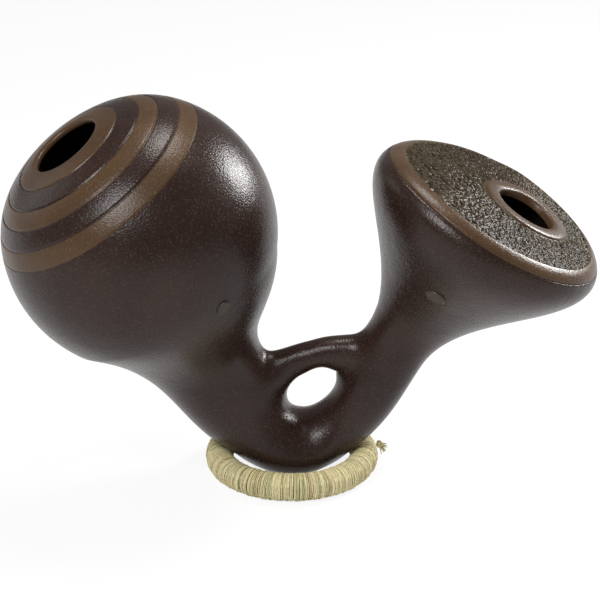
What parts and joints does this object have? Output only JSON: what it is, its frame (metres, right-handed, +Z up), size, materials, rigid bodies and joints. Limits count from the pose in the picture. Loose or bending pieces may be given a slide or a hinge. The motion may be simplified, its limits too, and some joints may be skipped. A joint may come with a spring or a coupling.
{
  "type": "udu drum",
  "caption": "Two-chamber clay pot drum with a banded globe, a flared bell and a hollow bridge, resting in a raffia-wound ring.",
  "frame": {"origin": "under the middle of the whole part's box, on the surface that the ring stands on", "axes": "+Z up; +X from the bass globe to the treble bell; the player and the picture's camera are on the -Y side"},
  "size_m": [0.5272, 0.2443, 0.3586],
  "materials": {
    "clay": "burnished, smoke-dark, satin",
    "brown_clay": "burnished brown slip, satin",
    "stamped_clay": "stamped pebble texture, satin",
    "raffia": "dry raffia strands",
    "straw": "straw rope",
    "cord": "twisted raffia cord"
  },
  "bodies": {
    "ring": {"ring_core": "straw", "tie_knot": "cord", "raffia_wrap_1": "raffia", "raffia_wrap_2": "raffia", "raffia_wrap_3": "raffia", "raffia_wrap_4": "raffia", "tie_cord": "cord"},
    "drum": {"bass_crown": "brown_clay", "bass_mouth_lip": "brown_clay", "bass_bowl": "clay", "bass_funnel": "clay", "bass_neck": "clay", "base_bend": "clay", "treble_neck": "clay", "treble_bell": "clay", "treble_rim": "brown_clay", "treble_face": "stamped_clay", "treble_mouth_collar": "brown_clay", "bridge_tube": "clay", "bass_seal": "clay", "treble_seal": "clay"}
  },
  "joints": [
    {"name": "drum_lift", "type": "slide", "parent": "ring", "child": "drum", "axis": [0, 0, 1], "range_m": [0, 0.08]}
  ]
}
